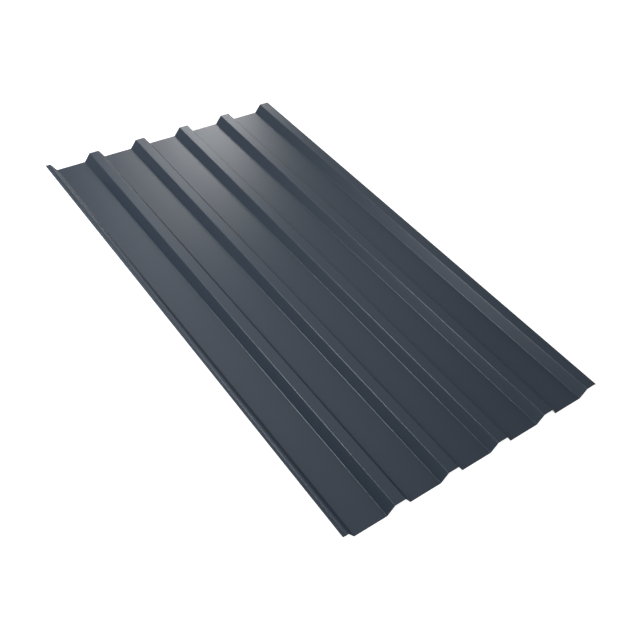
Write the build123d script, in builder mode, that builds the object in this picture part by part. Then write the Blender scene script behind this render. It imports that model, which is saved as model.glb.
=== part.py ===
from build123d import *
import os

# A box-profile roofing sheet: one painted steel sheet, rolled along its whole length into
# flat pans and raised ribs, and sheared square at both ends. It lies on its pans.
# X runs across the ribs towards the overlapping edge, Y runs along them, and Z is up.
# The origin is under the middle of the cover width, halfway along the sheet, so the next
# sheet of a roof is the same one moved by the cover width in X.

# The flat stock, and how tightly the rolls fold it
sheet_length = 2000
sheet_thickness = 0.5
inside_bend_radius = 3.5

# The rolled section, measured from fold to fold on the painted upper face
pan_count = 5
rib_pitch = 207
rib_height = 35
crown_width = 40
web_run = 24

# The side laps. The underlap ends as a flat half crown. The overlap is a whole crown, a
# little wider so that it closes over the next sheet, with a lip folded down beyond it.
underlap_width = 20
overlap_crown_width = 41.5
overlap_lip_length = 14.5

# A small groove along the middle of the underlap, which breaks the film of water that would
# creep in between the two sheets
groove_depth = 2
groove_bend_radius = 1.4

# Levels of the upper face, and the radius it takes round the outside of a fold
pan_level = sheet_thickness
crown_level = sheet_thickness + rib_height
outside_bend_radius = inside_bend_radius + sheet_thickness
groove_rim_radius = groove_bend_radius + sheet_thickness

# The groove's walls slope as the webs do. Its rounded floor cuts off the corner in which the
# walls would meet, so that corner lies deeper than the groove.
web_length = Vector(web_run, rib_height).length
groove_corner_depth = groove_depth + groove_bend_radius * (web_length / web_run - 1)
groove_half_width = groove_corner_depth * web_run / rib_height

# The upper face in section, from the underlap's edge to the overlap's lip. Each pan is
# followed by a web up to the next crown, and the fold at each corner has its own radius.
cover_width = pan_count * rib_pitch
crown_gap = rib_pitch - crown_width
crown_end = crown_width / 2 - cover_width / 2
groove_middle = crown_end - underlap_width / 2
section_points = [
    Vector(crown_end - underlap_width, crown_level),
    Vector(groove_middle - groove_half_width, crown_level),
    Vector(groove_middle, crown_level - groove_corner_depth),
    Vector(groove_middle + groove_half_width, crown_level),
    Vector(crown_end, crown_level),
]
fold_radii = [groove_rim_radius, groove_bend_radius, groove_rim_radius, outside_bend_radius]
for next_crown_width in [crown_width] * (pan_count - 1) + [overlap_crown_width]:
    section_points.append(Vector(crown_end + web_run, pan_level))
    section_points.append(Vector(crown_end + crown_gap - web_run, pan_level))
    section_points.append(Vector(crown_end + crown_gap, crown_level))
    section_points.append(Vector(crown_end + crown_gap + next_crown_width, crown_level))
    fold_radii += [inside_bend_radius] * 2 + [outside_bend_radius] * 2
    crown_end += crown_gap + next_crown_width

# The lip slopes as the webs do
lip_slope = Vector(web_run, -rib_height).normalized()
section_points.append(section_points[-1] + lip_slope * overlap_lip_length)

with BuildPart() as profiled_sheet:
    with BuildSketch(Plane.XZ) as rolled_section:
        with BuildLine():
            FilletPolyline(*section_points, radius=fold_radii)
            offset(amount=sheet_thickness, side=Side.RIGHT)
        make_face()
    extrude(amount=sheet_length / 2, both=True)
profiled_sheet.part.label = "profiled_sheet"

os.makedirs("parts", exist_ok=True)
export_step(profiled_sheet.part, "parts/profiled_sheet.step")
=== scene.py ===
import math

import bmesh
import bpy
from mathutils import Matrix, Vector


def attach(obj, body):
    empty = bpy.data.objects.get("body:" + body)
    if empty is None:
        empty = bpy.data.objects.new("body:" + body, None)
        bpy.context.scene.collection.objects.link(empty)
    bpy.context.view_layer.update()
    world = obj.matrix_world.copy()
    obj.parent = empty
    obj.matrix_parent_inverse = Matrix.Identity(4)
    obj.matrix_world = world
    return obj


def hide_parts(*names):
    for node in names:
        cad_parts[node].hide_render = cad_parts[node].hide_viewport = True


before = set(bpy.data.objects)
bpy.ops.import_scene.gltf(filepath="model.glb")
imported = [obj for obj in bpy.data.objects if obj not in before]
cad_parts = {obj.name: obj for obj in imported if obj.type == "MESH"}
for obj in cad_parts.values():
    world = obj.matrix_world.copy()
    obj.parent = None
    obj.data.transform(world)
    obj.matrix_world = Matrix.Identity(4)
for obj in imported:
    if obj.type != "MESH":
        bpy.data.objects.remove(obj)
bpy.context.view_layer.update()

# The sheet. Galvanised steel half a millimetre thick, drawn off a coil 1250 mm wide. Pairs of
# rollers fold it lengthwise, a little more at each pair, into five flat pans with ribs between,
# and a shear then cuts it square to length. Nothing is fastened to it: it is one piece of stock.
mm = 0.001
sheet_length = 2000 * mm
sheet_thickness = 0.5 * mm
pan_count = 5
rib_pitch = 207 * mm
rib_height = 35 * mm
crown_width = 40 * mm
web_run = 24 * mm
pan_width = rib_pitch - crown_width - 2 * web_run
cover_width = pan_count * rib_pitch
pan_level = sheet_thickness
crown_level = sheet_thickness + rib_height

# The side laps. One edge stops as a flat half crown, which the next sheet covers, with a small
# groove along its middle that keeps water from creeping in between the two. The other is a whole
# crown, slightly wider so that it closes over its neighbour, with a short lip folded down.
underlap_width = 20 * mm
groove_depth = 2 * mm
groove_bend_radius = 1.4 * mm
overlap_crown_width = 41.5 * mm
overlap_lip_length = 14.5 * mm

# The groove's walls slope as the webs do. Its rounded floor cuts off the corner in which the
# walls would meet, so that corner lies deeper than the groove.
fold_angle = math.atan2(rib_height, web_run)
groove_corner_depth = groove_depth + groove_bend_radius * (1 / math.cos(fold_angle) - 1)
groove_half_width = groove_corner_depth * web_run / rib_height
underlap_edge = -cover_width / 2
groove_middle = underlap_edge + underlap_width / 2
groove_side_width = underlap_width / 2 - groove_half_width

# Start from the flat strip outside the groove, at its size and place.
bpy.ops.object.select_all(action="DESELECT")
bpy.ops.mesh.primitive_plane_add(size=1, location=(0, 0, 0))
rolled_sheet = bpy.context.object
rolled_sheet.name = "rolled_sheet"
rolled_sheet.data.name = "rolled_sheet"
bpy.ops.object.mode_set(mode="EDIT")
bpy.ops.transform.resize(value=(groove_side_width, sheet_length, 1))
bpy.ops.transform.translate(value=(underlap_edge + groove_side_width / 2, 0, crown_level))
bpy.ops.mesh.select_mode(type="EDGE")


def pick_edges(wanted):
    """Selects, in edit mode, only the edges that pass the test, given each with its end points."""
    bpy.ops.mesh.select_all(action="DESELECT")
    mesh = bmesh.from_edit_mesh(bpy.context.object.data)
    for edge in mesh.edges:
        edge.select_set(wanted(edge, edge.verts[0].co, edge.verts[1].co))
    mesh.select_flush_mode()
    bmesh.update_edit_mesh(bpy.context.object.data)


# Draw its inner edge out across the sheet, fold by fold: through the groove to the first web, then
# down a web, over a pan, up the next web and over the crown, five times, and last down the lip.
draws = [
    (groove_half_width, -groove_corner_depth),
    (groove_half_width, groove_corner_depth),
    (groove_side_width, 0),
]
for next_crown in [crown_width] * (pan_count - 1) + [overlap_crown_width]:
    draws += [(web_run, -rib_height), (pan_width, 0), (web_run, rib_height), (next_crown, 0)]
draws.append((overlap_lip_length * math.cos(fold_angle), -overlap_lip_length * math.sin(fold_angle)))

inner_edge = underlap_edge + groove_side_width
near = 0.01 * mm
pick_edges(lambda edge, a, b: abs(a.x - inner_edge) < near and abs(b.x - inner_edge) < near)
for across, up in draws:
    bpy.ops.mesh.extrude_region_move(TRANSFORM_OT_translate={"value": (across, 0, up)})
bpy.ops.mesh.select_all(action="SELECT")
bpy.ops.mesh.normals_make_consistent(inside=False)

# Round each fold as the rollers leave it. The painted face runs round the outside of a crown's
# fold and round the inside of a pan's, so the two radii differ by the sheet's thickness.
inside_bend_radius = 3.5 * mm
outside_bend_radius = inside_bend_radius + sheet_thickness
groove_rim_radius = groove_bend_radius + sheet_thickness
fold_facets = 6
round_profile = 0.5


def is_fold(edge, a, b, level, in_groove):
    """True for a lengthwise edge at that level which joins two faces, in the groove or outside it."""
    level_here = abs(a.z - level) < near and abs(b.z - level) < near
    groove_here = abs(a.x - groove_middle) < groove_half_width + near
    return edge.is_manifold and level_here and abs(a.x - b.x) < near and groove_here == in_groove


def round_folds(level, in_groove, radius, turn):
    """Rounds every such fold, through which the sheet turns by that angle."""
    pick_edges(lambda edge, a, b: is_fold(edge, a, b, level, in_groove))
    bpy.ops.mesh.bevel(
        offset_type="OFFSET",
        offset=radius * math.tan(turn / 2),
        segments=fold_facets,
        profile=round_profile,
        affect="EDGES",
        clamp_overlap=False,
    )


groove_corner_level = crown_level - groove_corner_depth
round_folds(crown_level, in_groove=False, radius=outside_bend_radius, turn=fold_angle)
round_folds(pan_level, in_groove=False, radius=inside_bend_radius, turn=fold_angle)
round_folds(crown_level, in_groove=True, radius=groove_rim_radius, turn=fold_angle)
round_folds(groove_corner_level, in_groove=True, radius=groove_bend_radius, turn=2 * fold_angle)

# Divide it along its length and across its pans, so that the pans can take a slight unevenness.
length_cuts = 59
pan_cuts = 11
pick_edges(lambda edge, a, b: abs(a.y - b.y) > sheet_length / 2)
bpy.ops.mesh.subdivide(number_cuts=length_cuts)
pick_edges(lambda edge, a, b: abs(a.x - b.x) > pan_width / 2)
bpy.ops.mesh.subdivide(number_cuts=pan_cuts)
bpy.ops.object.mode_set(mode="OBJECT")

# Thin rolled pans are never quite flat: between their folds they rise and fall by a tenth of a
# millimetre or so, which shows only as a slight waver in what they reflect.
pan_rise = 0.16 * mm
pan_wave_length = 260 * mm
pan_middles = rolled_sheet.vertex_groups.new(name="pan_middles")
for vertex in rolled_sheet.data.vertices:
    from_pan = vertex.co.x / rib_pitch
    off_centre = abs(from_pan - round(from_pan)) * rib_pitch / (pan_width / 2)
    if abs(vertex.co.z - pan_level) < near and off_centre < 1:
        pan_middles.add([vertex.index], (1 - off_centre ** 2) ** 2, "REPLACE")
pan_waves = bpy.data.textures.new("pan_waves", "CLOUDS")
pan_waves.noise_scale = pan_wave_length
pan_waves.noise_depth = 1
unevenness = rolled_sheet.modifiers.new("unevenness", "DISPLACE")
unevenness.texture = pan_waves
unevenness.texture_coords = "LOCAL"
unevenness.vertex_group = "pan_middles"
unevenness.direction = "Z"
unevenness.mid_level = 0
unevenness.strength = pan_rise
bpy.ops.object.modifier_apply(modifier="unevenness")

# The sheet's thickness goes below the painted face, and its rim is the sheared steel. The three
# finishes are numbered in the order in which they are made below.
paint_number, back_number, rim_number = 0, 1, 2
gauge = rolled_sheet.modifiers.new("gauge", "SOLIDIFY")
gauge.thickness = sheet_thickness
gauge.offset = -1
gauge.use_even_offset = True
gauge.use_quality_normals = True
gauge.material_offset = back_number - paint_number
gauge.material_offset_rim = rim_number - paint_number

# The painted face: a satin polyester coat, dark blue-grey, rolled on and baked while the steel
# was still flat. It has a fine orange peel, faint streaks from the coating roller, and a tone
# that drifts a little over the sheet.
coat_dark = (0.0326, 0.0468, 0.0664, 1)
coat_light = (0.0352, 0.0505, 0.0714, 1)
coat_roughness = 0.27
streaks_across = 70
streaks_along = 0.8
streak_detail = 3
streak_roughness = 0.015
streak_tone_share = 0.2
drifts_per_metre = 2.2
drift_detail = 2
peel_per_metre = 900
peel_detail = 1
peel_depth = 0.02 * mm
peel_strength = 0.15
noise_middle = 0.5


class Shade:
    """A value on its way through a material's nodes, for sums in plain Python."""

    def __init__(self, tree, socket=None):
        self.tree = tree
        self.socket = socket

    def node(self, kind, settings=None, sockets=None, out=None):
        """Adds one node: its settings first, then its sockets' values or links."""
        made = self.tree.nodes.new(kind)
        for name, value in (settings or {}).items():
            setattr(made, name, value)
        for name, value in (sockets or {}).items():
            socket = next(s for s in made.inputs if name in (s.identifier, s.name))
            if isinstance(value, Shade):
                self.tree.links.new(value.socket, socket)
            else:
                socket.default_value = value
        outputs = [s for s in made.outputs if out in (None, s.identifier, s.name)]
        return Shade(self.tree, outputs[0] if outputs else None)

    def maths(self, operation, first, second):
        """Adds one Math node for two values, either of which may be a plain number."""
        return self.node("ShaderNodeMath", {"operation": operation}, {"Value": first, "Value_001": second})

    def __add__(self, other):
        return self.maths("ADD", self, other)

    def __sub__(self, other):
        return self.maths("SUBTRACT", self, other)

    def __rsub__(self, other):
        return self.maths("SUBTRACT", other, self)

    def __mul__(self, other):
        return self.maths("MULTIPLY", self, other)

    __radd__ = __add__
    __rmul__ = __mul__


def new_finish(name):
    """An empty node material, added to the sheet's finishes, as the start of its expressions."""
    material = bpy.data.materials.new(name)
    material.use_nodes = True
    material.node_tree.nodes.clear()
    rolled_sheet.data.materials.append(material)
    return Shade(material.node_tree)


paint = new_finish("satin_coat")
place = paint.node("ShaderNodeTexCoord", out="Object")
along_coil = paint.node(
    "ShaderNodeMapping",
    sockets={"Vector": place, "Scale": (streaks_across, streaks_along, streaks_across)},
)
streaks = paint.node(
    "ShaderNodeTexNoise",
    sockets={"Vector": along_coil, "Scale": 1, "Detail": streak_detail},
    out="Fac",
)
drift = paint.node(
    "ShaderNodeTexNoise",
    sockets={"Vector": place, "Scale": drifts_per_metre, "Detail": drift_detail},
    out="Fac",
)
peel = paint.node(
    "ShaderNodeTexNoise",
    sockets={"Vector": place, "Scale": peel_per_metre, "Detail": peel_detail},
    out="Fac",
)
coat_tone = streaks * streak_tone_share + drift * (1 - streak_tone_share)
coat_colour = paint.node(
    "ShaderNodeMix",
    {"data_type": "RGBA"},
    {"Factor_Float": coat_tone, "A_Color": coat_dark, "B_Color": coat_light},
    out="Result_Color",
)
peel_relief = paint.node(
    "ShaderNodeBump",
    sockets={"Height": peel, "Strength": peel_strength, "Distance": peel_depth},
)
coat = paint.node(
    "ShaderNodeBsdfPrincipled",
    sockets={
        "Base Color": coat_colour,
        "Roughness": coat_roughness + streak_roughness * (streaks - noise_middle),
        "Normal": peel_relief,
    },
)
paint.node("ShaderNodeOutputMaterial", sockets={"Surface": coat})

# The underside: a thin light grey back coat, which is only there to keep the zinc from
# staining. It is duller than the paint above, and the zinc's flowers show through it faintly.
back_dark = (0.36, 0.37, 0.37, 1)
back_light = (0.42, 0.43, 0.43, 1)
back_roughness = 0.42
flowers_per_metre = 160
flower_roughness = 0.12

back = new_finish("back_coat")
place = back.node("ShaderNodeTexCoord", out="Object")
flowers = back.node(
    "ShaderNodeTexVoronoi",
    sockets={"Vector": place, "Scale": flowers_per_metre},
    out="Distance",
)
back_colour = back.node(
    "ShaderNodeMix",
    {"data_type": "RGBA"},
    {"Factor_Float": flowers, "A_Color": back_light, "B_Color": back_dark},
    out="Result_Color",
)
back_coat = back.node(
    "ShaderNodeBsdfPrincipled",
    sockets={"Base Color": back_colour, "Roughness": back_roughness + flower_roughness * flowers},
)
back.node("ShaderNodeOutputMaterial", sockets={"Surface": back_coat})

# The sheared rim: bare steel between two skins of zinc, half a millimetre of it along all four
# edges. The blade has scored it across and left it dull.
rim_dark = (0.10, 0.105, 0.11, 1)
rim_light = (0.26, 0.265, 0.27, 1)
rim_metal = 0.85
rim_roughness = 0.35
scores_per_metre = 1400
score_detail = 2
score_roughness = 0.25

rim = new_finish("sheared_rim")
place = rim.node("ShaderNodeTexCoord", out="Object")
scores = rim.node(
    "ShaderNodeTexNoise",
    sockets={"Vector": place, "Scale": scores_per_metre, "Detail": score_detail},
    out="Fac",
)
rim_colour = rim.node(
    "ShaderNodeMix",
    {"data_type": "RGBA"},
    {"Factor_Float": scores, "A_Color": rim_dark, "B_Color": rim_light},
    out="Result_Color",
)
bare_steel = rim.node(
    "ShaderNodeBsdfPrincipled",
    sockets={
        "Base Color": rim_colour,
        "Metallic": rim_metal,
        "Roughness": rim_roughness + score_roughness * scores,
    },
)
rim.node("ShaderNodeOutputMaterial", sockets={"Surface": bare_steel})

# Give the sheet its thickness now that its three surfaces have their finishes, and let light
# run smoothly round the folds while the pans, webs and crowns stay flat.
fold_smoothing = math.radians(30)
flat_face_weight = 100
bpy.ops.object.modifier_apply(modifier="gauge")
bpy.ops.object.shade_smooth_by_angle(angle=fold_smoothing)
flatness = rolled_sheet.modifiers.new("flatness", "WEIGHTED_NORMAL")
flatness.weight = flat_face_weight
flatness.keep_sharp = True
bpy.ops.object.modifier_apply(modifier="flatness")
rolled_sheet.vertex_groups.clear()
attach(rolled_sheet, "root")
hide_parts("profiled_sheet")

# The floor the sheet lies on: a plain matt studio floor, which glows so that it shows as white all
# over, with no shadow round the sheet. It lies a hair lower, so that no face meets a face.
floor_size = 40
floor_gap = 0.3 * mm
floor_grey = (0.6, 0.6, 0.6, 1)
floor_roughness = 0.9
floor_gloss = 0.1
floor_glow = 0.8
white = (1, 1, 1, 1)
bpy.ops.object.select_all(action="DESELECT")
bpy.ops.mesh.primitive_plane_add(size=floor_size, location=(0, 0, -floor_gap))
floor = bpy.context.object
floor.name = "floor"
floor_white = bpy.data.materials.new("floor_white")
floor_white.use_nodes = True
floor_finish = floor_white.node_tree.nodes["Principled BSDF"]
floor_finish.inputs["Base Color"].default_value = floor_grey
floor_finish.inputs["Roughness"].default_value = floor_roughness
floor_finish.inputs["Specular IOR Level"].default_value = floor_gloss
floor_finish.inputs["Emission Color"].default_value = white
floor_finish.inputs["Emission Strength"].default_value = floor_glow
floor.data.materials.append(floor_white)
floor.visible_glossy = False

# The light. A wide soft ceiling hangs past the far end, with a smaller panel under it and a low
# white wall beyond, and a weak fill comes from the right. A cool box on the left draws bright lines
# along the folds, one behind it lights the last webs, and three far off put the sheen on the pans.
cool_white = (0.86, 0.92, 1)
ceiling_place = Vector((-1.0, 2.0, 3.0))
far_panel_place = Vector((-0.8, 1.8, 2.2))
fold_box_reach = 3.5
far_wall_reach = 8
far_off = 12


def compass(azimuth, elevation):
    """The direction of a light seen from the sheet. Azimuth turns from +Y towards +X, in degrees."""
    turn = math.radians(azimuth)
    rise = math.radians(elevation)
    return Vector((math.sin(turn) * math.cos(rise), math.cos(turn) * math.cos(rise), math.sin(rise)))


def turned_along(way):
    """The turn of a light that shines along a direction."""
    return way.to_track_quat("-Z", "Y").to_euler()


def soft_box(name, place, wide, high, lit, aim=(0, 0, 0), colour=(1, 1, 1)):
    """A soft light at a place, turned to the point it is aimed at and lighting it that strongly."""
    reach = place - Vector(aim)
    bpy.ops.object.light_add(type="AREA", location=place, rotation=turned_along(-reach))
    box = bpy.context.object
    box.name = name
    box.data.shape = "RECTANGLE"
    box.data.size = wide
    box.data.size_y = high
    box.data.color = colour
    box.data.energy = lit * math.pi * reach.length_squared
    box.visible_camera = False


soft_box(
    "ceiling",
    place=ceiling_place,
    wide=5.0,
    high=5.0,
    lit=0.69,
    aim=(ceiling_place.x, ceiling_place.y, 0),
)
soft_box(
    "far_panel",
    place=far_panel_place,
    wide=2.0,
    high=2.0,
    lit=0.80,
    aim=(far_panel_place.x, far_panel_place.y, 0),
)
soft_box(
    "far_wall",
    place=compass(azimuth=32, elevation=10) * far_wall_reach,
    wide=8.0,
    high=2.5,
    lit=0.28,
    colour=cool_white,
)
soft_box(
    "fold_box",
    place=compass(azimuth=-61, elevation=47) * fold_box_reach,
    wide=1.22,
    high=1.22,
    lit=1.34,
    colour=cool_white,
)
soft_box(
    "web_box",
    place=compass(azimuth=-56.8, elevation=29.7) * far_off,
    wide=3.35,
    high=3.35,
    lit=0.29,
    colour=cool_white,
)
soft_box(
    "right_sheen_box",
    place=compass(azimuth=29, elevation=27.5) * far_off,
    wide=1.4,
    high=1.4,
    lit=0.114,
)
soft_box(
    "left_sheen_box",
    place=compass(azimuth=25, elevation=30.5) * far_off,
    wide=2.1,
    high=2.1,
    lit=0.075,
)
soft_box(
    "glow_box",
    place=compass(azimuth=36, elevation=48) * far_off,
    wide=5.86,
    high=5.86,
    lit=0.068,
)

fill_lit = 0.44
fill_spread = math.radians(70)
fill_way = -compass(azimuth=120, elevation=35)
bpy.ops.object.light_add(type="SUN", rotation=turned_along(fill_way))
fill = bpy.context.object
fill.name = "fill"
fill.data.energy = fill_lit
fill.data.color = cool_white
fill.data.angle = fill_spread

# Round it all is a plain white studio. Its walls light the sheet only dimly, and the camera sees
# them as pale as the floor.
wall_light = 0.25
wall_paleness = 1
studio = bpy.data.worlds.new("studio")
studio.use_nodes = True
studio.node_tree.nodes.clear()
walls = Shade(studio.node_tree)
seen = walls.node("ShaderNodeLightPath", out="Is Camera Ray")
dim = walls.node("ShaderNodeBackground", sockets={"Color": white, "Strength": wall_light})
pale = walls.node("ShaderNodeBackground", sockets={"Color": white, "Strength": wall_paleness})
shown = walls.node("ShaderNodeMixShader", sockets={"Fac": seen, "Shader": dim, "Shader_001": pale})
walls.node("ShaderNodeOutputWorld", sockets={"Surface": shown})
bpy.context.scene.world = studio
bpy.context.scene.view_settings.view_transform = "Standard"
bpy.context.scene.view_settings.look = "None"

# The camera stands above the near corner of the underlap and looks down along the sheet. Its small
# shift sets the sheet in the square picture as a photograph cropped round it does.
camera_place = (-1.3994, -1.8410, 2.0472)
camera_angles = (44.4841, -5.4046, -36.3195)
camera_lens = 46.92
camera_sensor = 36
camera_shift_right = -0.02336
camera_shift_up = 0.01953
camera_turn = [math.radians(angle) for angle in camera_angles]
bpy.ops.object.camera_add(location=camera_place, rotation=camera_turn)
camera = bpy.context.object
camera.name = "camera"
camera.data.lens = camera_lens
camera.data.sensor_width = camera_sensor
camera.data.shift_x = camera_shift_right
camera.data.shift_y = camera_shift_up
bpy.context.scene.camera = camera

bpy.context.view_layer.update()
